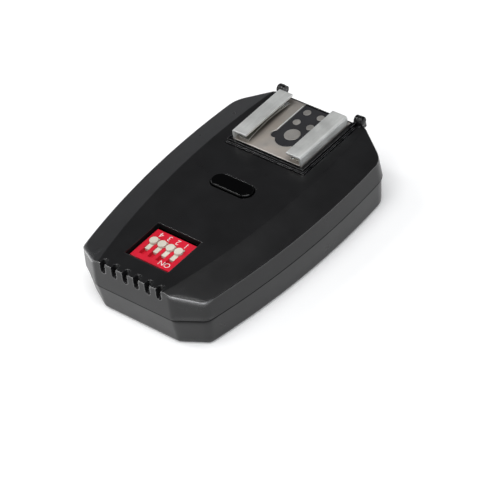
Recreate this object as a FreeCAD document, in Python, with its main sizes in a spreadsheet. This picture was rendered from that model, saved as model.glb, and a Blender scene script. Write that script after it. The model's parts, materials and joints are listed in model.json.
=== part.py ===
import FreeCAD, Part
import math
import os
import Sketcher

# Wireless flash trigger, receiver type. Millimetres, +Z up.
# Origin: centre of the underside. -Y is the front end with the code switch,
# +Y the rear end with the hinge of the tilting hot shoe.

DIMENSIONS = {
    # case outline at the seam
    "front_y": -36.0,
    "rear_y": 35.0,
    "front_half_width": 11.9,
    "rear_half_width": 13.5,
    "front_corner_y": -31.8,
    "rear_corner_y": 28.9,
    "widest_y": 10.0,
    "case_half_width": 23.85,
    "side_radius": 190.0,
    "front_corner_round": 2.4,
    "rear_corner_round": 5.0,
    "top_round": 0.3,
    # case heights
    "seam_z": 8.0,
    "seam_gap": 0.3,
    "panel_z": 15.6,
    "wall": 1.8,
    "floor_z": 2.2,
    "upper_draft": 0.45,
    "lower_draft": 1.1,
    "bottom_round": 1.1,
    # sloping bevel along each long side
    "bevel_width": 7.6,
    "bevel_drop": 2.4,
    # inside of the upper shell
    "side_roof_z": 11.8,
    "roof_z": 14.0,
    "bay_half_width": 13.0,
    "bay_front_y": -32.6,
    "bay_rear_y": 31.8,
    # vent grooves over the front top edge
    "vent_pitch": 3.45,
    "vent_width": 1.6,
    "vent_back": 2.3,
    "vent_down": 2.8,
    # four-way code switch
    "code_y": -23.9,
    "code_half_width": 6.0,
    "code_half_length": 5.0,
    "code_top_z": 14.8,
    "code_bottom_z": 9.8,
    "code_pitch": 2.54,
    "code_window_half_width": 6.7,
    "code_window_front_y": -29.8,
    "code_window_rear_y": -17.8,
    "code_slot_width": 1.5,
    "code_slot_length": 6.1,
    "code_slot_front_y": -27.4,
    "code_slot_depth": 1.0,
    "slider_width": 1.3,
    "slider_length": 4.1,
    "slider_head_radius": 1.1,
    "slider_travel": 1.5,
    # test button
    "button_y": 1.2,
    "button_length": 12.2,
    "button_width": 4.4,
    "button_gap": 0.28,
    "button_top_z": 16.2,
    "button_travel": 0.35,
    "button_flange_z": 13.3,
    "button_flange_top_z": 13.9,
    # tilting plate and its hinge
    "plate_half_width": 12.1,
    "plate_front_y": 12.9,
    "plate_rear_y": 32.5,
    "plate_bottom_z": 15.1,
    "plate_top_z": 16.5,
    "plate_flange_z": 15.75,
    "plate_step": 0.45,
    "plate_seat_z": 15.95,
    "plate_seat_front_y": 14.1,
    "plate_tongue_y": 33.3,
    "plate_gap": 0.3,
    "pocket_z": 15.0,
    "hinge_y": 34.8,
    "hinge_z": 16.5,
    "lug_radius": 1.15,
    "lug_inner_x": 10.95,
    "lug_outer_x": 11.7,
    "ear_radius": 1.2,
    "ear_inner_x": 11.8,
    "ear_outer_x": 12.8,
    "notch_front_y": 33.45,
    "notch_z": 13.4,
    "pin_radius": 0.5,
    "pin_clearance": 0.05,
    # hot shoe
    "shoe_front_y": 14.3,
    "rail_rear_y": 32.1,
    "shoe_floor_rear_y": 33.0,
    "shoe_half_width": 10.55,
    "shoe_floor_top_z": 16.45,
    "rail_wall": 0.6,
    "lip_under_z": 18.5,
    "lip_top_z": 19.05,
    "lip_inner_x": 6.2,
    "contact_offset_x": 1.05,
    "contact_window_half_width": 4.3,
    "contact_window_round_y": 21.2,
    "contact_window_round": 3.4,
    "contact_window_lobe": 1.4,
    "block_bottom_z": 15.15,
    "block_top_z": 16.3,
    "block_rear_y": 32.9,
    "contact_top_z": 16.42,
    "contact_bottom_z": 15.6,
    "main_contact_y": 22.5,
    "main_contact_radius": 2.0,
    "contact_x": 2.08,
    "contact_row_near_y": 26.75,
    "contact_row_far_y": 30.8,
    "contact_radius": 0.96,
    # leaf spring in the shoe
    "leaf_inner_x": 6.5,
    "leaf_outer_x": 9.6,
    "leaf_front_y": 15.2,
    "leaf_rear_y": 31.2,
    "leaf_radius": 36.0,
    "leaf_thickness": 0.25,
    "leaf_top_z": 17.65,
    # battery cells, door and contacts
    "cell_radius": 5.1,
    "cell_x": 5.4,
    "cell_z": 6.6,
    "cell_length": 43.5,
    "nub_length": 1.0,
    "nub_radius": 1.9,
    "near_plate_y": -15.4,
    "far_plate_y": 32.2,
    "contact_plate": 0.3,
    "door_top_z": 1.25,
    "door_bottom_z": 0.0,
    "door_half_width": 13.6,
    "door_tongue": 1.0,
    "door_front_y": -15.4,
    "spring_radius": 3.0,
    "spring_wire": 0.3,
    # boards
    "main_board_z": 8.4,
    "main_board_thickness": 1.0,
    "upper_board_z": 12.0,
    "upper_board_thickness": 0.6,
    # screws
    "screw_front_x": 16.3,
    "screw_front_y": -24.0,
    "screw_rear_x": 17.8,
    "screw_rear_y": 25.5,
    "boss_radius": 2.6,
    "screw_radius": 1.0,
    "screw_head_radius": 1.9,
    "screw_head_z": 1.0,
    # power switch in the left wall
    "power_y": 13.0,
    "power_z": 4.8,
    "power_travel": 2.0,
    # sync socket in the left wall
    "sync_y": -6.0,
    "sync_z": 4.9,
    "sync_bore_radius": 1.25,
    # threaded insert in the base
    "insert_y": -25.0,
    "insert_radius": 4.6,
    "insert_bore_radius": 3.18,
    "insert_top_z": 6.0,
}

doc = FreeCAD.newDocument("flash_trigger")
dims = doc.addObject("Spreadsheet::Sheet", "dims")
for row, (alias, value) in enumerate(DIMENSIONS.items(), start=1):
    dims.set("A%d" % row, alias)
    dims.set("B%d" % row, str(value))
    dims.setAlias("B%d" % row, alias)
doc.recompute()

# a helper whose position is set to read off an expression's value
probe = doc.addObject("Part::Box", "probe")
nodes = []


def term(value):
    """Expression text: plain names become spreadsheet references."""
    text = str(value)
    for alias in sorted(DIMENSIONS, key=len, reverse=True):
        text = text.replace("<" + alias + ">", "dims." + alias)
    return text


def bind(obj, path, value):
    obj.setExpression(path, term(value))


def number(value):
    """The value of an expression at the sheet's present numbers."""
    bind(probe, "Placement.Base.x", value)
    probe.recompute()
    return probe.Placement.Base.x


def place(obj, x, y, z):
    bind(obj, "Placement.Base.x", x)
    bind(obj, "Placement.Base.y", y)
    bind(obj, "Placement.Base.z", z)


def block(name, x0, x1, y0, y1, z0, z1):
    obj = doc.addObject("Part::Box", name)
    bind(obj, "Length", "(%s) - (%s)" % (x1, x0))
    bind(obj, "Width", "(%s) - (%s)" % (y1, y0))
    bind(obj, "Height", "(%s) - (%s)" % (z1, z0))
    place(obj, x0, y0, z0)
    return obj


TURN = {
    "x": FreeCAD.Rotation(FreeCAD.Vector(0, 1, 0), 90),
    "y": FreeCAD.Rotation(FreeCAD.Vector(1, 0, 0), -90),
    "z": FreeCAD.Rotation(),
}


def rod(name, axis, x, y, z, radius, length):
    """A cylinder starting at (x, y, z) and running along +axis."""
    obj = doc.addObject("Part::Cylinder", name)
    obj.Placement = FreeCAD.Placement(FreeCAD.Vector(), TURN[axis])
    bind(obj, "Radius", radius)
    bind(obj, "Height", length)
    place(obj, x, y, z)
    return obj


def cone(name, axis, x, y, z, radius_low, radius_high, length):
    obj = doc.addObject("Part::Cone", name)
    obj.Placement = FreeCAD.Placement(FreeCAD.Vector(), TURN[axis])
    bind(obj, "Radius1", radius_low)
    bind(obj, "Radius2", radius_high)
    bind(obj, "Height", length)
    place(obj, x, y, z)
    return obj


def fuse(name, parts):
    obj = doc.addObject("Part::MultiFuse", name)
    obj.Shapes = parts
    obj.Refine = True
    return obj


def common(name, parts):
    obj = doc.addObject("Part::MultiCommon", name)
    obj.Shapes = parts
    return obj


def cut(name, base, tools):
    obj = doc.addObject("Part::Cut", name)
    obj.Base = base
    obj.Tool = tools[0] if len(tools) == 1 else fuse(name + "_tools", tools)
    obj.Refine = True
    return obj


def group(name, parts):
    obj = doc.addObject("Part::Compound", name)
    obj.Links = parts
    return obj


def fillet(name, base, radius, wanted):
    """Round the edges of base for which wanted(edge) is true."""
    doc.recompute()
    obj = doc.addObject("Part::Fillet", name)
    obj.Base = base
    edges = []
    for index, edge in enumerate(base.Shape.Edges, start=1):
        if wanted(edge):
            edges.append((index, radius, radius))
    obj.Edges = edges
    return obj


def node(obj, label):
    obj.Label = label
    nodes.append(obj)
    return obj


# ---------------------------------------------------------------- case outline

def side_x(y):
    """Half width of the bowed long side at y, as an expression."""
    return ("<case_half_width> - <side_radius>"
            " + sqrt(<side_radius>^2 - (%s - <widest_y>)^2)" % y)


def outline(name, z, inset):
    """Closed eight-sided plan of the case: two bowed sides, two ends, four corners."""
    corners = [
        ("<front_half_width>", "<front_y>", -0.4, 1.0),
        (side_x("<front_corner_y>"), "<front_corner_y>", -1.0, 0.4),
        (side_x("<rear_corner_y>"), "<rear_corner_y>", -1.0, -0.4),
        ("<rear_half_width>", "<rear_y>", -0.4, -1.0),
    ]
    points = []
    for x, y, push_x, push_y in corners:
        points.append(("%s + (%s)*(%s)" % (x, push_x, inset),
                       "%s + (%s)*(%s)" % (y, push_y, inset)))
    for x, y in reversed(points[:]):
        points.append(("-(%s)" % x, y))
    sketch = doc.addObject("Sketcher::SketchObject", name)
    bind(sketch, "Placement.Base.z", z)
    spots = [FreeCAD.Vector(number(x), number(y), 0) for x, y in points]
    radius = DIMENSIONS["side_radius"] - number(inset)
    count = len(spots)
    for index in range(count):
        start = spots[index]
        end = spots[(index + 1) % count]
        if index in (1, 5):
            chord = end - start
            sagitta = radius - math.sqrt(radius ** 2 - (chord.Length / 2) ** 2)
            side = 1 if index == 1 else -1
            middle = (start + end) * 0.5 + FreeCAD.Vector(side * sagitta, 0, 0)
            sketch.addGeometry(Part.Arc(start, middle, end), False)
        else:
            sketch.addGeometry(Part.LineSegment(start, end), False)
    # an arc runs counter-clockwise, the same way round as the lines
    for index in range(count):
        sketch.addConstraint(Sketcher.Constraint(
            "Coincident", index, 2, (index + 1) % count, 1))
    for index, (x, y) in enumerate(points):
        for kind, value in (("DistanceX", x), ("DistanceY", y)):
            number_of = sketch.addConstraint(Sketcher.Constraint(
                kind, -1, 1, index, 1, number(value)))
            sketch.setExpression("Constraints[%d]" % number_of, term(value))
    for index in (1, 5):
        number_of = sketch.addConstraint(Sketcher.Constraint("Radius", index, radius))
        sketch.setExpression("Constraints[%d]" % number_of,
                             term("<side_radius> - (%s)" % inset))
    return sketch


def loft(name, low, high):
    obj = doc.addObject("Part::Loft", name)
    obj.Sections = [low, high]
    obj.Solid = True
    obj.Ruled = True
    return obj


def extrude(name, sketch, height):
    obj = doc.addObject("Part::Extrusion", name)
    obj.Base = sketch
    obj.DirMode = "Custom"
    obj.Dir = FreeCAD.Vector(0, 0, 1)
    obj.Solid = True
    bind(obj, "LengthFwd", height)
    return obj


def upright(edge, rear):
    box = edge.BoundBox
    steep = box.ZLength > 5 and box.XLength < 3 and box.YLength < 3
    return steep and (box.YMax > 0) == rear


def round_corners(name, base):
    """Round the upright corners of a case half, more at the rear than at the front."""
    front = fillet(name + "_front_corners", base, DIMENSIONS["front_corner_round"],
                   lambda edge: upright(edge, False))
    return fillet(name + "_rear_corners", front, DIMENSIONS["rear_corner_round"],
                  lambda edge: upright(edge, True))


# ---------------------------------------------------------------- upper shell
upper_low = outline("upper_outline_low", "<seam_z>", "0")
upper_high = outline("upper_outline_high", "<panel_z>", "<upper_draft>")
upper_block = round_corners("upper", loft("upper_loft", upper_low, upper_high))

bevel_rate = "(<bevel_width> / <bevel_drop>)"
bevels = []
for side_name, side in (("right", 1), ("left", -1)):
    high_radius = "<side_radius> - <upper_draft> - <bevel_width>"
    low_radius = high_radius + " + (<panel_z> - <seam_z>) * " + bevel_rate
    bevels.append(cone("bevel_" + side_name, "z",
                       "%d * (<case_half_width> - <side_radius>)" % side,
                       "<widest_y>", "<seam_z>", low_radius, high_radius,
                       "<panel_z> - <seam_z>"))
upper_form = common("upper_form", [upper_block] + bevels)


def top_rim(edge):
    """Edges where the top and the bevels meet the walls."""
    box = edge.BoundBox
    if box.ZMin < DIMENSIONS["panel_z"] - DIMENSIONS["bevel_drop"] - 1.0:
        return False
    middle = edge.valueAt((edge.FirstParameter + edge.LastParameter) / 2)
    inner = number(side_x(str(middle.y))) - 3.0
    return (abs(middle.x) > inner or middle.y < DIMENSIONS["front_y"] + 4.0
            or middle.y > DIMENSIONS["rear_corner_y"] + 1.0)


upper_rounded = fillet("upper_rounded", upper_form, DIMENSIONS["top_round"], top_rim)

hollow_sketch = outline("upper_hollow_outline", "<seam_z> - 1", "<wall>")
upper_tools = [
    extrude("upper_side_hollow", hollow_sketch, "<side_roof_z> - <seam_z> + 1"),
    block("upper_roof_hollow", "-<bay_half_width>", "<bay_half_width>",
          "<bay_front_y>", "<bay_rear_y>", "<seam_z>", "<roof_z>"),
    block("code_window", "-<code_window_half_width>", "<code_window_half_width>",
          "<code_window_front_y>", "<code_window_rear_y>", "<roof_z> - 1", "<panel_z> + 1"),
    block("plate_pocket", "-<plate_half_width> - <plate_gap>",
          "<plate_half_width> + <plate_gap>", "<plate_front_y> - <plate_gap>",
          "<plate_rear_y> + <plate_gap>", "<pocket_z>", "<panel_z> + 1"),
    block("lug_pocket", "-<ear_inner_x>", "<ear_inner_x>",
          "<plate_rear_y>", "<rear_y> + 1", "<pocket_z>", "<panel_z> + 1"),
    block("rear_notch", "-<ear_inner_x>", "<ear_inner_x>",
          "<notch_front_y>", "<rear_y> + 1", "<notch_z>", "<panel_z> + 1"),
]


def stadium(name, x, y, z0, z1, length, width):
    """An upright solid with straight sides and rounded ends, long along X."""
    half = "((%s) - (%s)) / 2" % (length, width)
    radius = "(%s) / 2" % width
    parts = [
        block(name + "_middle", "%s - %s" % (x, half), "%s + %s" % (x, half),
              "%s - %s" % (y, radius), "%s + %s" % (y, radius), z0, z1),
        rod(name + "_end_a", "z", "%s - %s" % (x, half), y, z0, radius,
            "(%s) - (%s)" % (z1, z0)),
        rod(name + "_end_b", "z", "%s + %s" % (x, half), y, z0, radius,
            "(%s) - (%s)" % (z1, z0)),
    ]
    return fuse(name, parts)


upper_tools.append(stadium("button_slot", "0", "<button_y>", "<roof_z> - 1", "<panel_z> + 1",
                           "<button_length> + 2 * <button_gap>",
                           "<button_width> + 2 * <button_gap>"))
for index in range(6):
    x = "(%d - 2.5) * <vent_pitch>" % index
    tag = "vent_%d" % (index + 1)
    half = "<vent_width> / 2"
    inner_y = "<front_y> + <vent_back> - " + half
    low_z = "<panel_z> - <vent_down> + " + half
    upper_tools.append(fuse(tag, [
        block(tag + "_slot", "%s - %s" % (x, half), "%s + %s" % (x, half),
              "<front_y> - 1", inner_y, low_z, "<panel_z> + 1"),
        rod(tag + "_back", "z", x, inner_y, low_z, half, "<vent_down> + 1 - " + half),
        rod(tag + "_foot", "y", x, "<front_y> - 1", low_z, half, "1 + <vent_back> - " + half),
    ]))
upper_hollowed = cut("upper_hollowed", upper_rounded, upper_tools)

SCREW_SPOTS = [
    ("front_right", "<screw_front_x>", "<screw_front_y>"),
    ("front_left", "-<screw_front_x>", "<screw_front_y>"),
    ("rear_right", "<screw_rear_x>", "<screw_rear_y>"),
    ("rear_left", "-<screw_rear_x>", "<screw_rear_y>"),
]
upper_added = [upper_hollowed]
upper_bores = []
for spot, x, y in SCREW_SPOTS:
    upper_added.append(rod("upper_boss_" + spot, "z", x, y, "<seam_z>",
                           "<boss_radius>", "<side_roof_z> - <seam_z> + 0.3"))
    upper_bores.append(rod("upper_boss_bore_" + spot, "z", x, y, "<seam_z> - 1",
                           "<screw_radius> + 0.04", "4.2"))
# two posts that carry the upper board
for spot, y in (("near", "-8"), ("far", "26")):
    upper_added.append(rod("board_post_" + spot, "z", "0", y,
                           "<upper_board_z> + <upper_board_thickness>", "1.6",
                           "<roof_z> + 0.3 - <upper_board_z> - <upper_board_thickness>"))
# ears of the hinge
for side_name, x in (("right", "<ear_inner_x>"), ("left", "-<ear_outer_x>")):
    width = "<ear_outer_x> - <ear_inner_x>"
    upper_added.append(rod("ear_" + side_name, "x", x, "<hinge_y>", "<hinge_z>",
                           "<ear_radius>", width))
    upper_added.append(block("ear_foot_" + side_name, x, "(%s) + %s" % (x, width),
                             "<hinge_y> - <ear_radius>", "<hinge_y> + <ear_radius>",
                             "<panel_z> - 1.4", "<hinge_z>"))
upper_bores.append(rod("ear_bore", "x", "-<ear_outer_x> + 0.3", "<hinge_y>", "<hinge_z>",
                       "<pin_radius>", "2 * <ear_outer_x> - 0.6"))
node(cut("upper_shell_solid", fuse("upper_with_bosses", upper_added), upper_bores), "upper_shell")

# ---------------------------------------------------------------- lower shell
lower_low = outline("lower_outline_low", "0", "<lower_draft>")
lower_high = outline("lower_outline_high", "<seam_z> - <seam_gap>", "0.25")


lower_block = round_corners("lower", loft("lower_loft", lower_low, lower_high))
lower_base = fillet("lower_base", lower_block, DIMENSIONS["bottom_round"],
                    lambda edge: edge.BoundBox.ZMax < 0.01)
rebate = extrude("seam_rebate", outline("rebate_outline", "<seam_z> - <seam_gap> - 0.5", "0.7"),
                 "<seam_gap> + 0.5")
lower_form = fuse("lower_form", [lower_base, rebate])
lower_hollow = extrude("lower_hollow", outline("lower_hollow_outline", "<floor_z>",
                                               "<wall> + 0.6"), "<seam_z>")
lower_shell = cut("lower_hollowed", lower_form, [lower_hollow])

bay_wall_outer = "12.4"
lower_added = [
    lower_shell,
    # side walls of the battery bay and the cross wall behind the main board
    block("bay_wall_right", "11.2", bay_wall_outer, "-17.0", "32.55",
          "<floor_z> - 0.5", "11.4"),
    block("bay_wall_left", "-" + bay_wall_outer, "-11.2", "-17.0", "32.55",
          "<floor_z> - 0.5", "11.4"),
    block("bay_cross_wall", "-" + bay_wall_outer, bay_wall_outer, "-17.0",
          "<near_plate_y> - <contact_plate>", "<floor_z> - 0.5", "11.4"),
]
lower_bores = []
for spot, x, y in SCREW_SPOTS:
    lower_added.append(rod("lower_boss_" + spot, "z", x, y, "<floor_z> - 0.5",
                           "<boss_radius>", "<seam_z> - <floor_z> + 0.5"))
    lower_bores.append(rod("lower_boss_bore_" + spot, "z", x, y, "-1",
                           "<screw_radius> + 0.3", "<seam_z> + 2"))
    lower_bores.append(rod("screw_recess_" + spot, "z", x, y, "-1",
                           "<screw_head_radius> + 0.3", "<screw_head_z> + 1 + 1.4"))
# posts for the main board
MAIN_POSTS = [("right", "11.0", "-31.0"), ("left", "-11.0", "-31.0")]
for spot, x, y in MAIN_POSTS:
    lower_added.append(rod("main_post_" + spot, "z", x, y, "<floor_z> - 0.5", "1.5",
                           "<main_board_z> - <floor_z> + 0.5"))
    lower_bores.append(rod("main_post_bore_" + spot, "z", x, y, "<main_board_z> - 4",
                           "0.74", "5"))
# boss round the threaded insert
lower_added.append(rod("insert_boss", "z", "0", "<insert_y>", "<floor_z> - 0.5",
                       "<insert_radius> + 1.4", "<insert_top_z> - <floor_z> + 1.4"))
lower_bores.append(rod("insert_hole", "z", "0", "<insert_y>", "-1",
                       "<insert_radius>", "<insert_top_z> + 1"))
# door channel: mouth over the cells, seat for the door, grooves for its tongues
lower_bores += [
    block("bay_mouth", "-11.2", "11.2", "<near_plate_y>", "<far_plate_y>", "-1", "3"),
    block("door_seat", "-<door_half_width> - 0.2", "<door_half_width> + 0.2",
          "<door_front_y> - 0.2", "<rear_y> + 2", "-1", "<door_top_z> + 0.1"),
    block("door_groove", "-<door_half_width> - <door_tongue> - 0.2",
          "<door_half_width> + <door_tongue> + 0.2", "<door_front_y> - 0.2", "<rear_y> + 2",
          "0.55", "<door_top_z> + 0.1"),
    # slot for the switch knob and its thumb recess
    block("knob_slot", "-26", "-20.5", "<power_y> - 2.2", "<power_y> + 2.2",
          "<power_z> - 1.0", "<power_z> + 1.0"),
    # hole for the nose of the sync socket
    rod("sync_hole", "x", "-26", "<sync_y>", "<sync_z>", "2.3", "6"),
]
node(cut("lower_shell_solid", fuse("lower_with_bosses", lower_added), lower_bores), "lower_shell")

# ---------------------------------------------------------------- battery door
door_rear = "<rear_y> + 1"
door = fuse("door_form", [
    block("door_plate", "-<door_half_width>", "<door_half_width>", "<door_front_y>", door_rear,
          "<door_bottom_z>", "<door_top_z>"),
    block("door_tongues", "-<door_half_width> - <door_tongue>",
          "<door_half_width> + <door_tongue>", "<door_front_y>", "28.0",
          "0.65", "<door_top_z>"),
])
door_trimmed = common("door_trimmed", [door, lower_base])
grips = []
for index in range(5):
    y = "24.0 + %s" % (1.4 * index)
    grips.append(block("door_grip_%d" % (index + 1), "-5", "5", y, "%s + 0.7" % y,
                       "-1", "<door_bottom_z> + 0.35"))
node(cut("battery_door_solid", door_trimmed, grips), "battery_door")

# ---------------------------------------------------------------- battery cells
for label, side, toward in (("battery_cell_left", -1, 1), ("battery_cell_right", 1, -1)):
    x = "%d * <cell_x>" % side
    if toward > 0:
        nub = "<far_plate_y> - 0.05 - <nub_length>"
        start = nub + " - <cell_length>"
    else:
        nub = "<near_plate_y> + 0.05"
        start = nub + " + <nub_length>"
    can = rod(label + "_can", "y", x, start, "<cell_z>", "<cell_radius>", "<cell_length>")
    tip = rod(label + "_nub", "y", x, nub, "<cell_z>", "<nub_radius>", "<nub_length>")
    node(fuse(label + "_solid", [can, tip]), label)

# near end: springs' side for the left cell, cap side for the right cell
for label, side, x0, x1, y in (
        ("contact_near_left", -1, "-10.4", "-1.0", "<near_plate_y> - <contact_plate>"),
        ("contact_near_right", 1, "1.0", "10.4", "<near_plate_y> - <contact_plate>"),
        ("contact_far_bridge", 0, "-10.4", "10.4", "<far_plate_y>")):
    plate = block(label + "_plate", x0, x1, y, y + " + <contact_plate>", "3.2", "10.6")
    node(plate, label)


def coil(name, axis, x, y, z, radius, wire, pitch, height):
    """A round-wire coil starting at (x, y, z) and running along +axis."""
    helix = doc.addObject("Part::Helix", name + "_path")
    bind(helix, "Radius", radius)
    helix.Pitch = pitch
    helix.Height = height
    helix.SegmentLength = 1
    circle = doc.addObject("Part::Circle", name + "_wire")
    bind(circle, "Radius", wire)
    circle.Placement = FreeCAD.Placement(FreeCAD.Vector(number(radius), 0, 0),
                                         FreeCAD.Rotation(FreeCAD.Vector(1, 0, 0), -90))
    sweep = doc.addObject("Part::Sweep", name + "_sweep")
    sweep.Sections = [circle]
    sweep.Spine = (helix, ["Edge1"])
    sweep.Solid = True
    sweep.Frenet = True
    turned = group(name, [sweep])
    turned.Placement = FreeCAD.Placement(FreeCAD.Vector(), TURN[axis])
    place(turned, x, y, z)
    return turned


left_gap = number("<far_plate_y> - 0.05 - <nub_length> - <cell_length> - <near_plate_y>")
coil_height = left_gap - 2 * DIMENSIONS["spring_wire"] - 0.1
node(coil("spring_left_coil", "y", "-<cell_x>", "<near_plate_y> + <spring_wire> + 0.05",
          "<cell_z>", "<spring_radius>", "<spring_wire>", 0.95, coil_height),
     "battery_spring_left")
right_start = "<near_plate_y> + 0.05 + <nub_length> + <cell_length> + <spring_wire> + 0.05"
node(coil("spring_right_coil", "y", "<cell_x>", right_start, "<cell_z>",
          "<spring_radius>", "<spring_wire>", 0.95, coil_height), "battery_spring_right")

# ---------------------------------------------------------------- main board
board_top = "<main_board_z> + <main_board_thickness>"
main_tools = []
for spot, x, y in MAIN_POSTS:
    main_tools.append(rod("main_board_hole_" + spot, "z", x, y, "<main_board_z> - 1", "1.1", "3"))
PIN_SPOTS = []
for row_name, offset in (("near", "-3.81"), ("far", "3.81")):
    for index in range(4):
        PIN_SPOTS.append((row_name + "_%d" % (index + 1),
                          "(%d - 1.5) * <code_pitch>" % index, "<code_y> + " + offset))
for spot, x, y in PIN_SPOTS:
    main_tools.append(rod("pin_hole_" + spot, "z", x, y, "<main_board_z> - 1", "0.35", "3"))
main_plate = block("main_board_plate", "-13.2", "13.2", "-33.2", "-17.2",
                   "<main_board_z>", board_top)
node(cut("main_board_solid", main_plate, main_tools), "main_board")

screws = []
for spot, x, y in MAIN_POSTS:
    screws.append(fuse("main_screw_" + spot, [
        rod("main_screw_shank_" + spot, "z", x, y, "<main_board_z> - 3.4", "0.7", "4.6"),
        rod("main_screw_head_" + spot, "z", x, y, board_top, "1.4", "0.8")]))
node(group("main_board_screws_group", screws), "main_board_screws")

# ---------------------------------------------------------------- code switch
body = block("code_body", "-<code_half_width>", "<code_half_width>",
             "<code_y> - <code_half_length>", "<code_y> + <code_half_length>",
             "<code_bottom_z>", "<code_top_z>")
slots = []
for index in range(4):
    x = "(%d - 1.5) * <code_pitch>" % index
    slots.append(block("code_slot_%d" % (index + 1), x + " - <code_slot_width> / 2",
                       x + " + <code_slot_width> / 2", "<code_slot_front_y>",
                       "<code_slot_front_y> + <code_slot_length>",
                       "<code_top_z> - <code_slot_depth>", "<code_top_z> + 1"))
node(cut("code_switch_solid", body, slots), "code_switch_body")

pins = []
for spot, x, y in PIN_SPOTS:
    pins.append(rod("code_pin_" + spot, "z", x, y, "7.6", "0.25", "<code_bottom_z> - 7.6"))
node(group("code_switch_pins_group", pins), "code_switch_pins")

slider_rear = "<code_slot_front_y> + <code_slot_length> - 0.05"
for index in range(4):
    x = "(%d - 1.5) * <code_pitch>" % index
    tag = "slider_%d" % (index + 1)
    strip = block(tag + "_strip", x + " - <slider_width> / 2", x + " + <slider_width> / 2",
                  slider_rear + " - <slider_length>", slider_rear,
                  "<code_top_z> - <code_slot_depth> + 0.1", "<code_top_z> - 0.05")
    head_y = slider_rear + " - <slider_head_radius> - 0.3"
    head = rod(tag + "_head", "z", x, head_y,
               "<code_top_z> - 0.3", "<slider_width> / 2", "0.4")
    cap = rod(tag + "_cap", "z", x, head_y,
              "<code_top_z> + 0.05", "<slider_head_radius>", "0.6")
    # the sliders are numbered 4 to 1 from left to right
    node(fuse(tag + "_solid", [strip, head, cap]), "code_slider_%d" % (4 - index))

# ---------------------------------------------------------------- parts on the main board
module_z = board_top + " + 0.4"
node(block("rf_module_plate", "7.2", "12.8", "-29.2", "-17.8", module_z, module_z + " + 0.8"),
     "rf_module")
node(stadium("crystal_can_form", "10.0", "-21.0", module_z + " + 0.8", module_z + " + 3.0",
             "4.6", "2.6"), "crystal_can")
node(block("rf_chip_form", "8.2", "11.8", "-28.2", "-24.6", module_z + " + 0.8",
           module_z + " + 1.8"), "rf_chip")
node(block("controller_form", "-12.4", "-7.4", "-27.5", "-21.5", board_top + " + 0.1",
           board_top + " + 1.6"), "controller_chip")
node(coil("antenna_coil_form", "x", "-8.0", "-30.8", board_top + " + 2.0", "1.3", "0.25",
          1.2, 16.0), "antenna_coil")

# ---------------------------------------------------------------- upper board and button
upper_board_top = "<upper_board_z> + <upper_board_thickness>"
upper_plate = block("upper_board_plate", "-10.8", "10.8", "-13.4", "31.4",
                    "<upper_board_z>", upper_board_top)
upper_holes = []
board_screws = []
for spot, y in (("near", "-8"), ("far", "26")):
    upper_holes.append(rod("upper_board_hole_" + spot, "z", "0", y,
                           "<upper_board_z> - 1", "0.9", "3"))
    board_screws.append(fuse("upper_screw_" + spot, [
        rod("upper_screw_shank_" + spot, "z", "0", y, "<upper_board_z>", "0.7",
            "<upper_board_thickness>"),
        rod("upper_screw_head_" + spot, "z", "0", y, "<upper_board_z> - 0.6", "1.3", "0.6")]))
node(cut("upper_board_solid", upper_plate, upper_holes), "upper_board")
node(group("upper_board_screws_group", board_screws), "upper_board_screws")
node(rod("tact_switch_form", "z", "0", "<button_y>", upper_board_top, "2.4", "0.3"),
     "tact_switch")
node(block("status_led_form", "4.0", "5.6", "<button_y> - 0.4", "<button_y> + 0.4",
           upper_board_top, upper_board_top + " + 0.3"), "status_led")

cap = stadium("button_cap", "0", "<button_y>", "<button_flange_z>", "<button_top_z>",
              "<button_length>", "<button_width>")


def button_rim(edge):
    return edge.BoundBox.ZMin > DIMENSIONS["button_top_z"] - 0.01


rounded_cap = fillet("button_cap_round", cap, 0.35, button_rim)
flange = stadium("button_flange", "0", "<button_y>", "<button_flange_z>",
                 "<button_flange_top_z>", "<button_length> + 1.8", "<button_width> + 1.8")
node(fuse("test_button_solid", [rounded_cap, flange]), "test_button")

# ---------------------------------------------------------------- power switch
switch_body = block("power_switch_case", "-20.2", "-15.6", "<power_y> - 4.4", "<power_y> + 4.4",
                    "<power_z> - 2.3", "<power_z> + 2.3")
switch_slot = block("power_switch_slot", "-21", "-18.9", "<power_y> - 2.2", "<power_y> + 2.2",
                    "<power_z> - 1.0", "<power_z> + 1.0")
node(cut("power_switch_solid", switch_body, [switch_slot]), "power_switch_body")
knob_rest = "<power_y> - 2.1"
node(block("power_knob_form", "-<case_half_width>", "-19.1", knob_rest, "%s + 2.1" % knob_rest,
           "<power_z> - 0.85", "<power_z> + 0.85"), "power_switch_knob")

# ---------------------------------------------------------------- sync socket
socket = fuse("sync_socket_form", [
    block("sync_socket_case", "-20.2", "-12.8", "<sync_y> - 3.0", "<sync_y> + 3.0",
          "<sync_z> - 2.6", "<sync_z> + 2.6"),
    rod("sync_socket_nose", "x", "-22.4", "<sync_y>", "<sync_z>", "2.0", "2.4"),
])
node(cut("sync_socket_solid", socket, [
    rod("sync_bore", "x", "-23", "<sync_y>", "<sync_z>", "<sync_bore_radius>", "9"),
]), "sync_socket")

# ---------------------------------------------------------------- base insert and case screws
insert = rod("insert_body", "z", "0", "<insert_y>", "0.1", "<insert_radius>",
             "<insert_top_z> - 0.1")
node(cut("tripod_insert_solid", insert, [
    rod("insert_bore", "z", "0", "<insert_y>", "-1", "<insert_bore_radius>", "6.2"),
]), "tripod_insert")

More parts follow.
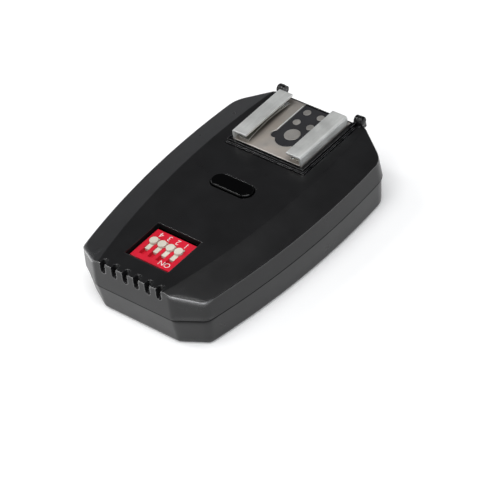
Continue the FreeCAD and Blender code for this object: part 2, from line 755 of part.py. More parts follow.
case_screws = []
for spot, x, y in SCREW_SPOTS:
    head = rod("case_screw_head_" + spot, "z", x, y, "<screw_head_z>",
               "<screw_head_radius>", "1.4")
    shank = rod("case_screw_shank_" + spot, "z", x, y, "<screw_head_z> + 1.4",
                "<screw_radius>", "<seam_z> + 3.0 - <screw_head_z> - 1.4")
    cross = [block("cross_a_" + spot, x + " - 1.2", x + " + 1.2", y + " - 0.25", y + " + 0.25",
                   "0", "<screw_head_z> + 0.7"),
             block("cross_b_" + spot, x + " - 0.25", x + " + 0.25", y + " - 1.2", y + " + 1.2",
                   "0", "<screw_head_z> + 0.7")]
    case_screws.append(cut("case_screw_" + spot,
                           fuse("case_screw_blank_" + spot, [head, shank]), cross))
node(group("case_screws_group", case_screws), "case_screws")

# ---------------------------------------------------------------- tilting plate
def contact_window(name, grow, z0, z1, rear):
    """The opening round the contacts: straight at the rear, three lobes at the front."""
    half = "<contact_window_half_width> + (%s)" % grow
    lobe = "<contact_window_lobe> + (%s)" % grow
    side = "<contact_window_half_width> - <contact_window_lobe>"
    height = "(%s) - (%s)" % (z1, z0)
    return fuse(name, [
        block(name + "_straight", "<contact_offset_x> - (%s)" % half,
              "<contact_offset_x> + %s" % half, "<contact_window_round_y> - 0.6", rear, z0, z1),
        rod(name + "_round", "z", "<contact_offset_x>", "<contact_window_round_y>", z0,
            "<contact_window_round> + (%s)" % grow, height),
        rod(name + "_lobe_left", "z", "<contact_offset_x> - (%s) - 0.6" % side,
            "<contact_window_round_y> - 0.4", z0, lobe, height),
        rod(name + "_lobe_right", "z", "<contact_offset_x> + %s" % side,
            "<contact_window_round_y> - 0.9", z0, lobe, height),
    ])


plate_parts = [
    block("tilt_plate_flange", "-<plate_half_width>", "<plate_half_width>",
          "<plate_front_y>", "<plate_rear_y>", "<plate_bottom_z>", "<plate_flange_z>"),
    block("tilt_plate_slab", "-<plate_half_width> + <plate_step>",
          "<plate_half_width> - <plate_step>", "<plate_front_y> + <plate_step>",
          "<plate_rear_y>", "<plate_bottom_z>", "<plate_top_z>"),
    block("tilt_plate_tongue", "-<lug_outer_x>", "<lug_outer_x>",
          "<plate_rear_y> - 0.5", "<plate_tongue_y>", "<plate_bottom_z>", "<plate_top_z>"),
]
lug_width = "<lug_outer_x> - <lug_inner_x>"
for side_name, x in (("right", "<lug_inner_x>"), ("left", "-<lug_outer_x>")):
    plate_parts.append(rod("tilt_lug_" + side_name, "x", x, "<hinge_y>", "<hinge_z>",
                           "<lug_radius>", lug_width))
    plate_parts.append(block("tilt_lug_neck_" + side_name, x, "(%s) + %s" % (x, lug_width),
                             "<plate_rear_y>", "<hinge_y>", "<plate_bottom_z> + 0.05",
                             "<plate_top_z>"))
plate_solid = cut("tilt_plate_seated", fuse("tilt_plate_form", plate_parts), [
    block("bracket_seat", "-<shoe_half_width> - 0.15", "<shoe_half_width> + 0.15",
          "<plate_seat_front_y>", "<shoe_floor_rear_y> + 0.1",
          "<plate_seat_z>", "<plate_top_z> + 3"),
    contact_window("block_window", "0", "<plate_bottom_z> - 1", "<plate_top_z>",
                   "<shoe_floor_rear_y>"),
    rod("lug_bore", "x", "-<lug_outer_x> - 1", "<hinge_y>", "<hinge_z>",
        "<pin_radius> + <pin_clearance>", "2 * <lug_outer_x> + 2"),
])
node(plate_solid, "tilt_plate")
pin_length = "<ear_outer_x> - 0.3 - <lug_inner_x>"
node(group("hinge_pins_group", [
    rod("hinge_pin_right", "x", "<lug_inner_x>", "<hinge_y>", "<hinge_z>",
        "<pin_radius>", pin_length),
    rod("hinge_pin_left", "x", "-<ear_outer_x> + 0.3", "<hinge_y>", "<hinge_z>",
        "<pin_radius>", pin_length),
]), "hinge_pins")

# ---------------------------------------------------------------- hot shoe bracket
rail_parts = [block("shoe_floor", "-<shoe_half_width>", "<shoe_half_width>",
                    "<shoe_front_y>", "<shoe_floor_rear_y>", "<plate_seat_z>",
                    "<shoe_floor_top_z>")]
for side_name, side in (("right", 1), ("left", -1)):
    inner = "<shoe_half_width> - <rail_wall>"
    if side > 0:
        wall_x = (inner, "<shoe_half_width>")
        lip_x = ("<lip_inner_x>", "<shoe_half_width>")
    else:
        wall_x = ("-<shoe_half_width>", "-(%s)" % inner)
        lip_x = ("-<shoe_half_width>", "-<lip_inner_x>")
    rail_parts.append(block("rail_wall_" + side_name, wall_x[0], wall_x[1],
                            "<shoe_front_y>", "<rail_rear_y>",
                            "<plate_seat_z>", "<lip_top_z>"))
    rail_parts.append(block("rail_lip_" + side_name, lip_x[0], lip_x[1],
                            "<shoe_front_y>", "<rail_rear_y>",
                            "<lip_under_z>", "<lip_top_z>"))
rails = fuse("shoe_rails_form", rail_parts)
rails_cut = cut("shoe_rails_cut", rails, [
    contact_window("shoe_window", "0", "<plate_seat_z> - 1", "<shoe_floor_top_z> + 1",
                   "<shoe_floor_rear_y> + 1"),
])


def rail_bend(edge):
    box = edge.BoundBox
    outer = max(abs(box.XMin), abs(box.XMax)) > DIMENSIONS["shoe_half_width"] - 0.01
    return outer and box.YLength > 15 and box.ZMin > DIMENSIONS["lip_top_z"] - 0.01


node(fillet("shoe_rails_solid", rails_cut, 0.55, rail_bend), "shoe_rails")

arms = []
for side_name, x0 in (("right", "<leaf_inner_x>"), ("left", "-<leaf_outer_x>")):
    width = "<leaf_outer_x> - <leaf_inner_x>"
    middle = "(<leaf_front_y> + <leaf_rear_y>) / 2"
    centre_z = "<leaf_top_z> - <leaf_radius>"
    shell = cut("leaf_ring_" + side_name,
                rod("leaf_outer_" + side_name, "x", x0, middle, centre_z,
                    "<leaf_radius>", width),
                [rod("leaf_inner_" + side_name, "x", "(%s) - 1" % x0, middle, centre_z,
                     "<leaf_radius> - <leaf_thickness>", width + " + 2")])
    arms.append(common("leaf_arm_" + side_name, [
        shell, block("leaf_trim_" + side_name, "(%s) - 1" % x0, "(%s) + %s + 1" % (x0, width),
                     "<leaf_front_y>", "<leaf_rear_y>", "10", "25")]))
node(group("shoe_springs_group", arms), "shoe_leaf_springs")

# ---------------------------------------------------------------- contacts
contact_spots = [
    ("main", "<contact_offset_x>", "<main_contact_y>", "<main_contact_radius>"),
    ("near_left", "<contact_offset_x> - <contact_x>", "<contact_row_near_y>", "<contact_radius>"),
    ("near_right", "<contact_offset_x> + <contact_x>", "<contact_row_near_y>", "<contact_radius>"),
    ("far_left", "<contact_offset_x> - <contact_x>", "<contact_row_far_y>", "<contact_radius>"),
    ("far_right", "<contact_offset_x> + <contact_x>", "<contact_row_far_y>", "<contact_radius>"),
]
wells = []
studs = []
for spot, x, y, radius in contact_spots:
    wells.append(rod("contact_well_" + spot, "z", x, y, "<contact_bottom_z>",
                     radius + " + 0.04", "3"))
    studs.append(rod("contact_stud_" + spot, "z", x, y, "<contact_bottom_z>", radius,
                     "<contact_top_z> - <contact_bottom_z>"))
block_body = contact_window("contact_block_form", "-0.12", "<block_bottom_z>",
                            "<block_top_z>", "<block_rear_y>")
node(cut("contact_block_solid", block_body, wells), "contact_block")
node(studs[0], "main_contact")
node(group("side_contacts_group", studs[1:]), "side_contacts")

# ---------------------------------------------------------------- export
doc.removeObject(probe.Name)
doc.recompute()
for obj in doc.Objects:
    if "Invalid" in obj.State or "Error" in obj.State:
        raise RuntimeError("%s did not recompute: %s" % (obj.Name, obj.State))

os.makedirs("parts", exist_ok=True)
for obj in nodes:
    shape = obj.Shape
    if shape.isNull() or not shape.isValid():
        raise RuntimeError("%s has a bad shape" % obj.Label)
    if not shape.Solids:
        raise RuntimeError("%s has no solid" % obj.Label)
    shape.exportStep("parts/%s.step" % obj.Label)
    print("%-22s solids %d  volume %9.2f  z %.2f..%.2f" % (
        obj.Label, len(shape.Solids), shape.Volume, shape.BoundBox.ZMin, shape.BoundBox.ZMax))
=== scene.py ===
import json
import math

import bmesh
import bpy
from mathutils import Matrix, Vector


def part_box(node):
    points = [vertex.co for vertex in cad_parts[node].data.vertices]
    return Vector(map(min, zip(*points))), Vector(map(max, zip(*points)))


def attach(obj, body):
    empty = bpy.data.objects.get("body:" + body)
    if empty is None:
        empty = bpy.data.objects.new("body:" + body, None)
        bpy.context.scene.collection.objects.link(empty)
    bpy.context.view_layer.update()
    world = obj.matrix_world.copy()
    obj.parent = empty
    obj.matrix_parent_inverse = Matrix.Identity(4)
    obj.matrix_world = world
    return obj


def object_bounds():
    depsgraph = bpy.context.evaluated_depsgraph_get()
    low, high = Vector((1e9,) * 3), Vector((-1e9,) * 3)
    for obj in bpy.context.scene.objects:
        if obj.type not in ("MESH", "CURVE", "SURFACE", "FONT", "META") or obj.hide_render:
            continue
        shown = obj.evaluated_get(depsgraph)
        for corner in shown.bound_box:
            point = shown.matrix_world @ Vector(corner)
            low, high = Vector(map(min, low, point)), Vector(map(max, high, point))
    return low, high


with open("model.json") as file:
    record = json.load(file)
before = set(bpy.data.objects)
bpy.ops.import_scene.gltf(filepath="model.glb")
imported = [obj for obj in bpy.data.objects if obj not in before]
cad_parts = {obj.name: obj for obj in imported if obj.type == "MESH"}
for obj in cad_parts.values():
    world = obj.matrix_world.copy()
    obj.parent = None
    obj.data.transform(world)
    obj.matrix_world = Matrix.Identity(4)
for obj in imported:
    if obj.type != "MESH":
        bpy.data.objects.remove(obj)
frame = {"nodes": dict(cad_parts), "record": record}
cad_low, cad_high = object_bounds()
nodes = frame["nodes"]
MM = 0.001

# ---------------------------------------------------------------- camera and stage
camera_data = bpy.data.cameras.new("camera")
camera_data.sensor_width = 36.0
camera_data.lens = 210.0
camera_data.clip_start = 0.02
camera_data.clip_end = 10.0
camera = bpy.data.objects.new("camera", camera_data)
bpy.context.collection.objects.link(camera)
right = Vector((0.75930553, 0.63540422, -0.14041579))
up = Vector((-0.34204298, 0.57327644, 0.74455404))
back = right.cross(up).normalized()
camera.matrix_world = Matrix((
    (right.x, up.x, back.x, 0.36894925),
    (right.y, up.y, back.y, -0.34438078),
    (right.z, up.z, back.z, 0.43421114),
    (0, 0, 0, 1),
))
bpy.context.scene.camera = camera


def make_mesh(name, build, smooth):
    """A new object from a bmesh that build(bm) fills, smooth below that angle, flat at 0."""
    mesh = bpy.data.meshes.new(name)
    bm = bmesh.new()
    build(bm)
    bm.to_mesh(mesh)
    bm.free()
    obj = bpy.data.objects.new(name, mesh)
    bpy.context.collection.objects.link(obj)
    if smooth:
        shade(obj, smooth)
    return obj


def shade(obj, angle):
    """Smooth shading with edges sharper than angle kept."""
    mesh = obj.data
    bm = bmesh.new()
    bm.from_mesh(mesh)
    limit = math.radians(angle)
    for face in bm.faces:
        face.smooth = True
    for edge in bm.edges:
        if len(edge.link_faces) == 2:
            edge.smooth = edge.calc_face_angle(0) < limit
    bm.to_mesh(mesh)
    bm.free()


# ---------------------------------------------------------------- material nodes
class Shader:
    """A principled material built from noise layers in object space, in millimetres."""

    def __init__(self, name):
        self.mat = bpy.data.materials.new(name)
        self.mat.use_nodes = True
        self.tree = self.mat.node_tree
        self.bsdf = self.tree.nodes["Principled BSDF"]
        coords = self.tree.nodes.new("ShaderNodeTexCoord")
        self.coords = coords.outputs["Object"]

    def node(self, kind, **values):
        made = self.tree.nodes.new(kind)
        for key, value in values.items():
            setattr(made, key, value)
        return made

    def link(self, a, b):
        self.tree.links.new(a, b)

    def mapped(self, scale=(1, 1, 1), turn=(0, 0, 0)):
        mapping = self.node("ShaderNodeMapping")
        mapping.inputs["Scale"].default_value = [s / MM for s in scale]
        mapping.inputs["Rotation"].default_value = turn
        self.link(self.coords, mapping.inputs["Vector"])
        return mapping.outputs["Vector"]

    def noise(self, size, detail=3.0, rough=0.55, stretch=(1, 1, 1), turn=(0, 0, 0)):
        """Noise from 0 to 1 with features about size millimetres across."""
        tex = self.node("ShaderNodeTexNoise")
        tex.inputs["Scale"].default_value = 1.0 / size
        tex.inputs["Detail"].default_value = detail
        tex.inputs["Roughness"].default_value = rough
        self.link(self.mapped(stretch, turn), tex.inputs["Vector"])
        return tex.outputs["Fac"]

    def cells(self, size, feature="F1", stretch=(1, 1, 1)):
        """Distance to the middle or the border of cells about size millimetres across."""
        tex = self.node("ShaderNodeTexVoronoi", feature=feature)
        tex.inputs["Scale"].default_value = 1.0 / size
        self.link(self.mapped(stretch), tex.inputs["Vector"])
        return tex.outputs["Distance"]

    def ramp(self, value, low, high, out_low=0.0, out_high=1.0):
        """value's range low to high, mapped in a straight line and cut off at its ends."""
        mapped = self.node("ShaderNodeMapRange")
        mapped.inputs["From Min"].default_value = low
        mapped.inputs["From Max"].default_value = high
        mapped.inputs["To Min"].default_value = out_low
        mapped.inputs["To Max"].default_value = out_high
        self.link(value, mapped.inputs["Value"])
        return mapped.outputs["Result"]

    def math(self, kind, a, b):
        made = self.node("ShaderNodeMath", operation=kind)
        for socket, value in zip(made.inputs, (a, b)):
            if isinstance(value, (int, float)):
                socket.default_value = value
            else:
                self.link(value, socket)
        return made.outputs[0]

    def mix(self, factor, low, high):
        """The colour low where factor is 0 and high where it is 1."""
        made = self.node("ShaderNodeMix", data_type="RGBA")
        for socket, value in ((made.inputs[0], factor), (made.inputs[6], low),
                              (made.inputs[7], high)):
            if isinstance(value, (int, float)):
                socket.default_value = value
            elif isinstance(value, (tuple, list)):
                socket.default_value = (*value[:3], 1.0)
            else:
                self.link(value, socket)
        return made.outputs[2]

    def place(self, axis):
        """Object-space place along X, Y or Z, in millimetres."""
        split = self.node("ShaderNodeSeparateXYZ")
        self.link(self.mapped(), split.inputs[0])
        return split.outputs[axis]

    def off_centre(self):
        """Distance from the middle plane, in millimetres."""
        return self.math("ABSOLUTE", self.place("X"), 0.0)

    def rounded(self, radius):
        """Normals rounded over radius, a number in millimetres or a value in metres."""
        bevel = self.node("ShaderNodeBevel", samples=6)
        if isinstance(radius, (int, float)):
            bevel.inputs["Radius"].default_value = radius * MM
        else:
            self.link(radius, bevel.inputs["Radius"])
        return bevel.outputs["Normal"]

    def edges(self, radius, low=0.02, high=0.25):
        """About 1 on convex and concave edges within radius, 0 on flats."""
        bevel = self.rounded(radius)
        geometry = self.node("ShaderNodeNewGeometry")
        dot = self.node("ShaderNodeVectorMath", operation="DOT_PRODUCT")
        self.link(bevel, dot.inputs[0])
        self.link(geometry.outputs["Normal"], dot.inputs[1])
        return self.ramp(self.math("SUBTRACT", 1.0, dot.outputs["Value"]), low, high)

    def rims(self, radius):
        """About 1 where a top or bottom face turns over into an upright wall."""
        split = self.node("ShaderNodeSeparateXYZ")
        self.link(self.rounded(radius), split.inputs[0])
        lean = self.math("ABSOLUTE", split.outputs["Z"], 0.0)
        return self.math("MULTIPLY", self.ramp(lean, 0.18, 0.4), self.ramp(lean, 0.93, 0.8))

    def bump(self, layers, radius=None):
        """layers: (height value, strength, distance in mm), stacked."""
        normal = self.rounded(radius) if radius else None
        for value, strength, distance in layers:
            made = self.node("ShaderNodeBump")
            made.inputs["Strength"].default_value = strength
            made.inputs["Distance"].default_value = distance * MM
            self.link(value, made.inputs["Height"])
            if normal is not None:
                self.link(normal, made.inputs["Normal"])
            normal = made.outputs["Normal"]
        self.link(normal, self.bsdf.inputs["Normal"])

    def set(self, **values):
        for key, value in values.items():
            socket = self.bsdf.inputs[key.replace("_", " ")]
            if isinstance(value, (int, float)):
                socket.default_value = value
            elif isinstance(value, (tuple, list)):
                socket.default_value = (*value[:3], 1.0)
            else:
                self.link(value, socket)
        return self.mat


# zones of the case along Z and Y and from the middle plane, in millimetres
RIM_ZONE = ((9.0, 10.5), (15.75, 15.65))
SEAM_ZONE = ((7.35, 7.65), (8.25, 8.02))
CORNER_REACH = ((-29.0, -31.5), (11.2, 12.6))
CORNER_SOFT = 2.2
CORNER_RUB_HIGHLIGHT_RADIUS = 0.65
# painted highlight, partly rubbed plastic: the light grey painted on the case's front corner
# rims
CORNER_RUB_AND_HIGHLIGHT_GREY = (0.17, 0.17, 0.175)
SHADOW_BLACK = (0.001, 0.001, 0.001)
COAT_IOR = 1.9

# zones of the shoe bracket: height of its floor's top layer, painted shade under the lips and
# towards the rear
FLOOR_LAYER = 0.5
LIP_PAINTED_SHADE = ((4.6, 6.8), (10.1, 9.9))
REAR_PAINTED_SHADE = (10.0, 30.0, 0.0, 0.5)
PAINTED_SHADE_TONE = 0.42


def plastic(name, dark, light, rough=(0.32, 0.42), grain=0.3, grain_height=0.01,
            edge=0.16, soft=0.2, dust_wear_and_highlight=(0.10, 0.10, 0.105), edge_wear_and_highlight_amount=0.3, polish=0.12,
            shine=0.5, case=False, gloss_edges=False):
    """Moulded plastic: spark-eroded grain, cloudy sheen, fine dust, rubbed edges, which in
    plate_black are a painted highlight.

    The case also has a glossier top rim, rounder at its front corners and painted light grey
    there as rubbed plastic and a painted highlight, and a dark line of painted shade where its
    halves meet. gloss_edges gives polished edges only.
    """
    s = Shader(name)
    cloud = s.noise(9.0, 4.0)
    body = s.mix(s.ramp(cloud, 0.35, 0.65), dark, light)
    dust = s.ramp(s.cells(1.9), 0.045, 0.02)
    body = s.mix(s.math("MULTIPLY", dust, 0.22), body, dust_wear_and_highlight)
    edge_wear_and_highlight = s.math("MULTIPLY", s.edges(edge), s.ramp(s.noise(1.6, 3.0), 0.32, 0.52))
    body = s.mix(s.math("MULTIPLY", edge_wear_and_highlight, edge_wear_and_highlight_amount), body, dust_wear_and_highlight)
    smudge = s.ramp(s.noise(5.0, 5.0, 0.6), 0.3, 0.7, rough[0], rough[1])
    rubbed = s.math("MULTIPLY", s.edges(soft, 0.03, 0.2), -polish)
    smudge = s.math("ADD", smudge, rubbed)
    if case:
        height = s.place("Z")
        corner = s.math("MULTIPLY", s.ramp(s.place("Y"), *CORNER_REACH[0]),
                        s.ramp(s.off_centre(), *CORNER_REACH[1]))
        soft = s.ramp(corner, 0.0, 1.0, soft * MM, CORNER_SOFT * MM)
        band = s.math("MULTIPLY", s.ramp(height, *RIM_ZONE[0]), s.ramp(height, *RIM_ZONE[1]))
        worn = s.math("MULTIPLY", band,
                      s.math("MAXIMUM", s.rims(soft), s.edges(soft, 0.012, 0.07)))
        smudge = s.math("ADD", smudge, s.math("MULTIPLY", worn, -0.15))
        s.set(Coat_Weight=worn, Coat_Roughness=0.1, Coat_IOR=COAT_IOR)
        # painted highlight: the front corner rims are painted light grey, partly as rubbed
        # plastic
        rub_and_highlight_rim = s.math("MULTIPLY", s.math("MULTIPLY", corner, band), s.rims(CORNER_RUB_HIGHLIGHT_RADIUS))
        body = s.mix(s.math("MULTIPLY", rub_and_highlight_rim, 0.9), body, CORNER_RUB_AND_HIGHLIGHT_GREY)
        # painted shade: the band of the seam groove is painted near black where the halves meet
        seam = s.math("MULTIPLY", s.ramp(height, *SEAM_ZONE[0]), s.ramp(height, *SEAM_ZONE[1]))
        body = s.mix(seam, body, SHADOW_BLACK)
        smudge = s.math("ADD", smudge, s.math("MULTIPLY", seam, 0.6))
    if gloss_edges:
        s.set(Coat_Weight=s.edges(soft, 0.01, 0.08), Coat_Roughness=0.06, Coat_IOR=COAT_IOR)
    fine = s.noise(grain, 2.0, 0.7)
    pits = s.cells(grain * 1.3)
    s.bump([(fine, 0.35, grain_height), (pits, 0.2, grain_height)], soft)
    return s.set(Base_Color=body, Roughness=smudge, Specular_IOR_Level=shine)


def metal(name, dark, light, rough=(0.42, 0.52), along=(1, 12, 1), edge=0.12, stain=0.12,
          streaks=0.35, soft=0.15, floor_z=None, floor_tint=None, lustre=1.0):
    """Plated or rolled metal: satin grain, faint streaks, a few scratches and dull spots.

    Edges are painted paler and less metallic as burnished plating and a painted highlight.
    floor_z and floor_tint give the shoe bracket's floor its warmer tone and painted shade under
    the lips and towards the rear.
    """
    s = Shader(name)
    streak = s.noise(0.5, 4.0, 0.6, (along[0], 1.0 / along[1], along[2]))
    cloud = s.noise(3.5, 4.0)
    satin = s.noise(0.16, 2.0, 0.7)
    tone = s.math("ADD", s.math("MULTIPLY", streak, streaks),
                  s.math("MULTIPLY", cloud, 1.0 - streaks))
    body = s.mix(s.ramp(tone, 0.35, 0.65), dark, light)
    body = s.mix(s.ramp(s.noise(1.4, 5.0), 0.6, 0.75, 0.0, stain), body,
                 [c * 0.5 for c in dark])
    scratch = s.ramp(s.noise(0.22, 3.0, 0.7, (1.0, 0.08, 1.0), (0, 0, 0.5)), 0.6, 0.66)
    if floor_z is not None:
        under = s.ramp(s.place("Z"), floor_z + FLOOR_LAYER, floor_z)
        sweep = s.ramp(s.noise(7.0, 2.0), 0.4, 0.6, 0.6, 1.0)
        body = s.mix(s.math("MULTIPLY", under, sweep), body, floor_tint)
        # painted shade: the floor is darkened under the lips and towards the rear
        across = s.off_centre()
        painted_shade = s.math("MULTIPLY", s.ramp(across, *LIP_PAINTED_SHADE[0]), s.ramp(across, *LIP_PAINTED_SHADE[1]))
        painted_shade = s.math("MAXIMUM", painted_shade, s.ramp(s.place("Y"), *REAR_PAINTED_SHADE))
        body = s.mix(s.math("MULTIPLY", painted_shade, under), body,
                     [c * PAINTED_SHADE_TONE for c in floor_tint])
    # painted highlight: edges are painted paler and less metallic, partly as burnished plating
    burnish_and_highlight = s.math("MULTIPLY", s.edges(edge), 0.7)
    body = s.mix(burnish_and_highlight, body, [min(1.0, c * 1.25) for c in light])
    dull = s.math("ADD", s.ramp(tone, 0.3, 0.7, rough[0], rough[1]),
                  s.math("MULTIPLY", scratch, -0.1))
    dull = s.math("ADD", dull, s.math("MULTIPLY", s.edges(soft), -0.14))
    if floor_z is not None:
        dull = s.math("ADD", dull, s.math("MULTIPLY", under, -0.05))
    s.bump([(satin, 0.2, 0.006), (streak, 0.1 * streaks, 0.01), (scratch, 0.12, 0.004)],
           soft)
    return s.set(Base_Color=body, Metallic=s.math("SUBTRACT", lustre, burnish_and_highlight),
                 Roughness=dull)


def board_material(name):
    """Green solder mask over faint copper tracks."""
    s = Shader(name)
    tracks = s.ramp(s.cells(1.6, "DISTANCE_TO_EDGE", (1, 1, 0.2)), 0.05, 0.09)
    body = s.mix(tracks, (0.03, 0.16, 0.06), (0.012, 0.085, 0.035))
    body = s.mix(s.ramp(s.noise(4.0), 0.4, 0.7, 0.0, 0.3), body, (0.02, 0.12, 0.05))
    s.bump([(tracks, 0.4, 0.03), (s.noise(0.4), 0.15, 0.01)], 0.1)
    return s.set(Base_Color=body, Roughness=s.ramp(s.noise(2.0), 0.3, 0.7, 0.25, 0.42))


def wrap_material(name):
    """Printed film round a cell: dark with a copper-coloured band at one end."""
    s = Shader(name)
    band = s.ramp(s.place("Y"), 19.5, 19.7)
    body = s.mix(band, (0.03, 0.032, 0.04), (0.42, 0.22, 0.09))
    body = s.mix(s.ramp(s.noise(2.0), 0.45, 0.7, 0.0, 0.3), body, (0.09, 0.09, 0.1))
    s.bump([(s.noise(0.8), 0.15, 0.02)], 0.3)
    return s.set(Base_Color=body, Metallic=0.35,
                 Roughness=s.ramp(s.noise(1.5), 0.3, 0.7, 0.25, 0.4))


materials = {
    "case_black": plastic("case_black", (0.0074, 0.0074, 0.0078), (0.0098, 0.0098, 0.0104),
                          rough=(0.27, 0.35), edge=0.3, soft=0.42, edge_wear_and_highlight_amount=0.15,
                          polish=0.05, shine=0.4, case=True),
    "door_black": plastic("door_black", (0.008, 0.008, 0.0086), (0.011, 0.011, 0.0116),
                          soft=0.25),
    "switch_red": plastic("switch_red", (0.56, 0.006, 0.022), (0.68, 0.010, 0.034),
                          rough=(0.34, 0.46), grain=0.25, grain_height=0.006, edge=0.1,
                          soft=0.08, dust_wear_and_highlight=(0.8, 0.16, 0.18), edge_wear_and_highlight_amount=0.35),
    "slider_white": plastic("slider_white", (0.58, 0.54, 0.45), (0.70, 0.66, 0.57),
                            rough=(0.36, 0.48), grain=0.2, grain_height=0.005, edge=0.12,
                            soft=0.25, dust_wear_and_highlight=(0.46, 0.42, 0.36), edge_wear_and_highlight_amount=0.5),
    "button_black": plastic("button_black", (0.0004, 0.0004, 0.0005), (0.0007, 0.0007, 0.0008),
                            rough=(0.05, 0.10), grain=0.8, grain_height=0.001, edge=0.2,
                            soft=0.34, dust_wear_and_highlight=(0.01, 0.01, 0.011), edge_wear_and_highlight_amount=0.05,
                            polish=0.0, shine=0.2, gloss_edges=True),
    "knob_black": plastic("knob_black", (0.014, 0.014, 0.016), (0.02, 0.02, 0.022)),
    # painted highlight: the plate's edges are painted pale grey over most of their length
    "plate_black": plastic("plate_black", (0.0014, 0.0014, 0.0016), (0.0024, 0.0024, 0.0027),
                           rough=(0.16, 0.24), soft=0.16, edge=0.12,
                           dust_wear_and_highlight=(0.42, 0.42, 0.43), edge_wear_and_highlight_amount=0.75, shine=0.3,
                           gloss_edges=True),
    "block_black": plastic("block_black", (0.012, 0.012, 0.014), (0.018, 0.018, 0.021),
                           rough=(0.45, 0.6), grain=0.25),
    "socket_black": plastic("socket_black", (0.012, 0.012, 0.014), (0.018, 0.018, 0.02)),
    "chip_black": plastic("chip_black", (0.015, 0.015, 0.016), (0.03, 0.03, 0.03),
                          rough=(0.55, 0.7), grain=0.15),
    "led_lens": plastic("led_lens", (0.7, 0.12, 0.1), (0.8, 0.2, 0.15), rough=(0.1, 0.2)),
    "nickel_steel": metal("nickel_steel", (0.78, 0.79, 0.77), (0.90, 0.91, 0.89),
                          rough=(0.52, 0.62), edge=0.17, soft=0.3, floor_z=16.5,
                          floor_tint=(0.88, 0.80, 0.72)),
    "spring_steel": metal("spring_steel", (0.46, 0.46, 0.43), (0.60, 0.60, 0.57),
                          rough=(0.16, 0.26), streaks=0.6),
    "contact_metal": metal("contact_metal", (0.50, 0.48, 0.45), (0.62, 0.60, 0.57),
                           rough=(0.45, 0.6), along=(1, 1, 1), stain=0.3),
    "pin_steel": metal("pin_steel", (0.05, 0.05, 0.052), (0.09, 0.09, 0.095),
                       rough=(0.25, 0.35)),
    "screw_steel": metal("screw_steel", (0.10, 0.10, 0.105), (0.17, 0.17, 0.175),
                         rough=(0.3, 0.4)),
    "insert_brass": metal("insert_brass", (0.55, 0.40, 0.18), (0.72, 0.55, 0.28),
                          rough=(0.25, 0.35)),
    "can_metal": metal("can_metal", (0.6, 0.6, 0.6), (0.75, 0.75, 0.75), rough=(0.15, 0.25)),
    "copper_wire": metal("copper_wire", (0.60, 0.30, 0.16), (0.75, 0.42, 0.24),
                         rough=(0.2, 0.3)),
    # painted highlight: a pale, mostly non-metallic copy of the steel, so the rolled bead shows
    # as a bright line
    "bead_highlight_steel": metal("bead_highlight_steel", (0.86, 0.86, 0.84), (0.96, 0.96, 0.94),
                         rough=(0.3, 0.4), edge=0.01, soft=0.01, lustre=0.35),
    "board_green": board_material("board_green"),
    "cell_wrap": wrap_material("cell_wrap"),
}

slots = {s["node"]: s["material_slot"] for s in frame["record"]["subparts"]}
for name, obj in nodes.items():
    obj.data.materials.clear()
    obj.data.materials.append(materials[slots[name]])


# ---------------------------------------------------------------- domed hinge ends
hinge_low, hinge_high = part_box("hinge_pins")
CAP_STEPS = 40


def hinge_cap(name, side):
    """A smooth domed end over the case's ear, round the hinge line."""
    profile = ((11.8, 1.08), (11.83, 1.17), (11.9, 1.199), (12.75, 1.199), (12.95, 1.15),
               (13.1, 1.02), (13.22, 0.78), (13.28, 0.42), (13.3, 0.0))
    centre = (hinge_low + hinge_high) / 2

    def build(bm):
        rings = []
        for x, radius in profile:
            ring = []
            for step in range(CAP_STEPS):
                turn = 2 * math.pi * step / CAP_STEPS
                ring.append(bm.verts.new((side * x * MM,
                                          centre.y + radius * MM * math.cos(turn),
                                          centre.z + radius * MM * math.sin(turn))))
                if radius == 0.0:
                    break
            rings.append(ring)
        for inner, outer in zip(rings[:-1], rings[1:]):
            for i in range(CAP_STEPS):
                j = (i + 1) % CAP_STEPS
                if len(outer) == 1:
                    bm.faces.new((inner[i], inner[j], outer[0]))
                else:
                    bm.faces.new((inner[i], inner[j], outer[j], outer[i]))
        bm.faces.new(rings[0][::-1])
        bmesh.ops.recalc_face_normals(bm, faces=bm.faces)

    cap = make_mesh(name, build, 40)
    cap.data.materials.append(materials["plate_black"])
    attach(cap, "case")


hinge_cap("hinge_cap_right", 1)
hinge_cap("hinge_cap_left", -1)


# ---------------------------------------------------------------- rolled window edge
block_low, block_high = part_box("contact_block")
BEAD_HALF_WIDTH = 0.11
BEAD_HEIGHT = 0.12
BEAD_STEPS = 8
BEAD_TAPER = ((0.0, 0.15), (0.02, 0.75), (0.06, 1.0), (0.94, 1.0), (0.98, 0.75), (1.0, 0.15))


def build_window_edge(bm):
    """A slim rolled bead beside the contacts, half round, with tapered ends."""
    edge_x = block_low.x + 0.36 * MM
    floor_top = block_high.z + 0.15 * MM
    start, end = block_low.y + 4.2 * MM, block_high.y - 0.5 * MM
    rings = []
    for part, scale in BEAD_TAPER:
        ring = []
        for step in range(BEAD_STEPS + 1):
            turn = math.pi * step / BEAD_STEPS
            ring.append(bm.verts.new((
                edge_x + BEAD_HALF_WIDTH * MM * scale * math.cos(turn),
                start + (end - start) * part,
                floor_top + BEAD_HEIGHT * MM * scale * math.sin(turn) - 0.01 * MM)))
        rings.append(ring)
    for near, far in zip(rings[:-1], rings[1:]):
        for i in range(BEAD_STEPS + 1):
            j = (i + 1) % (BEAD_STEPS + 1)
            bm.faces.new((near[i], near[j], far[j], far[i]))
    bm.faces.new(rings[0])
    bm.faces.new(rings[-1][::-1])
    bmesh.ops.recalc_face_normals(bm, faces=bm.faces)


window_edge = make_mesh("window_edge", build_window_edge, 50)
window_edge.data.materials.append(materials["bead_highlight_steel"])
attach(window_edge, "shoe")


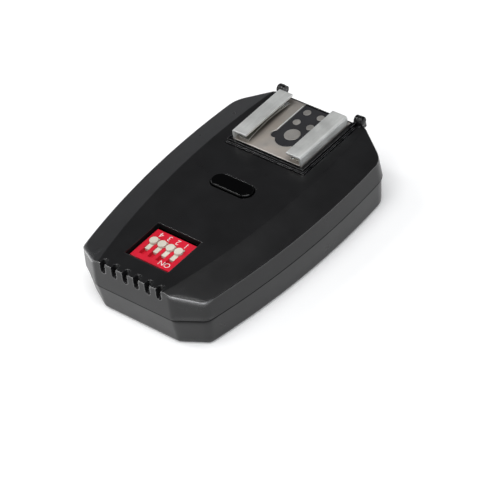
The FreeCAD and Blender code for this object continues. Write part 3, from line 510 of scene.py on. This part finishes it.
# ---------------------------------------------------------------- marks on the code switch
def print_material(name):
    """Thin white pad-printed ink, a little broken at its edges."""
    s = Shader(name)
    patch = s.ramp(s.noise(0.25, 4.0, 0.7), 0.3, 0.5)
    body = s.mix(patch, (0.55, 0.35, 0.35), (0.78, 0.74, 0.72))
    s.bump([(s.noise(0.2, 2.0), 0.2, 0.004)])
    return s.set(Base_Color=body, Roughness=s.ramp(s.noise(0.8), 0.3, 0.7, 0.4, 0.6))


ink = print_material("switch_ink")
switch_low, switch_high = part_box("code_switch_body")


def mark(name, text, x, y, size):
    """A flat printed mark on top of the code switch, read from the rear end."""
    curve = bpy.data.curves.new(name, "FONT")
    curve.body = text
    curve.size = size * MM
    curve.align_x = "CENTER"
    curve.align_y = "CENTER"
    curve.extrude = 0.006 * MM
    curve.offset = -0.01 * MM
    letters = bpy.data.objects.new(name + "_curve", curve)
    bpy.context.collection.objects.link(letters)
    bpy.context.view_layer.update()
    mesh = bpy.data.meshes.new_from_object(letters)
    bpy.data.objects.remove(letters)
    mesh.transform(Matrix.Translation((x, y, switch_high.z + 0.008 * MM))
                   @ Matrix.Rotation(math.pi, 4, "Z"))
    mesh.materials.clear()
    mesh.materials.append(ink)
    obj = bpy.data.objects.new(name, mesh)
    bpy.context.collection.objects.link(obj)
    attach(obj, "case")


for number in (1, 2, 3, 4):
    low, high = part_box("code_slider_%d" % number)
    mark("digit_%d" % number, str(number), (low.x + high.x) / 2,
         switch_high.y - 1.15 * MM, 2.3)
mark("on_mark", "ON", switch_high.x - 2.6 * MM, switch_low.y + 1.5 * MM, 2.1)


# ---------------------------------------------------------------- floor and light
def build_floor(bm):
    bmesh.ops.create_grid(bm, x_segments=1, y_segments=1, size=3.0)


floor = make_mesh("floor", build_floor, 0)
floor.location.z = cad_low.z - 0.0001
floor_shader = Shader("floor_paper")
floor_tone = floor_shader.mix(floor_shader.ramp(floor_shader.noise(60.0), 0.3, 0.7),
                              (0.86, 0.86, 0.86), (0.88, 0.88, 0.88))
floor_shader.bump([(floor_shader.noise(0.6), 0.05, 0.02)])
floor_shader.bsdf.inputs["Emission Color"].default_value = (1.0, 1.0, 1.0, 1.0)
floor_shader.bsdf.inputs["Emission Strength"].default_value = 0.2
floor_shader.bsdf.inputs["Specular IOR Level"].default_value = 0.1
floor.data.materials.append(floor_shader.set(Base_Color=floor_tone, Roughness=0.8))

# a dim surround, a little brighter towards the horizon
world = bpy.data.worlds.new("studio")
world.use_nodes = True
tree = world.node_tree
sky = tree.nodes["Background"]
sky.inputs["Strength"].default_value = 1.0
direction = tree.nodes.new("ShaderNodeTexCoord")
split = tree.nodes.new("ShaderNodeSeparateXYZ")
tree.links.new(direction.outputs["Generated"], split.inputs[0])
fade = tree.nodes.new("ShaderNodeValToRGB")
fade.color_ramp.elements[0].position = 0.05
fade.color_ramp.elements[0].color = (0.32, 0.33, 0.35, 1.0)
fade.color_ramp.elements[1].position = 0.55
fade.color_ramp.elements[1].color = (0.075, 0.075, 0.078, 1.0)
tree.links.new(split.outputs["Z"], fade.inputs["Fac"])
tree.links.new(fade.outputs["Color"], sky.inputs["Color"])
bpy.context.scene.world = world


def area(name, place, size, power, colour=(1, 1, 1)):
    """A rectangular lamp at place, turned to the object."""
    data = bpy.data.lights.new(name, "AREA")
    data.shape = "RECTANGLE"
    data.size, data.size_y = size
    data.energy = power
    data.color = colour
    lamp = bpy.data.objects.new(name, data)
    bpy.context.collection.objects.link(lamp)
    lamp.location = place
    aim = Vector((0, 0, 0.01)) - Vector(place)
    lamp.rotation_euler = aim.to_track_quat("-Z", "Y").to_euler()


area("softbox", (0.16, -0.2, 0.9), (0.78, 0.85), 8.2)
area("low_front", (-0.56, -0.62, 0.5), (0.6, 0.4), 1.3)
area("key_right", (0.8, -0.25, 0.45), (0.5, 0.4), 1.5, (0.86, 0.92, 1.0))
area("fill_left", (-0.8, -0.1, 0.35), (0.5, 0.4), 1.0)
area("rim_left", (-0.52, -0.17, 0.76), (0.16, 0.16), 0.9)

scene = bpy.context.scene
scene.view_settings.view_transform = "Standard"
scene.view_settings.look = "None"
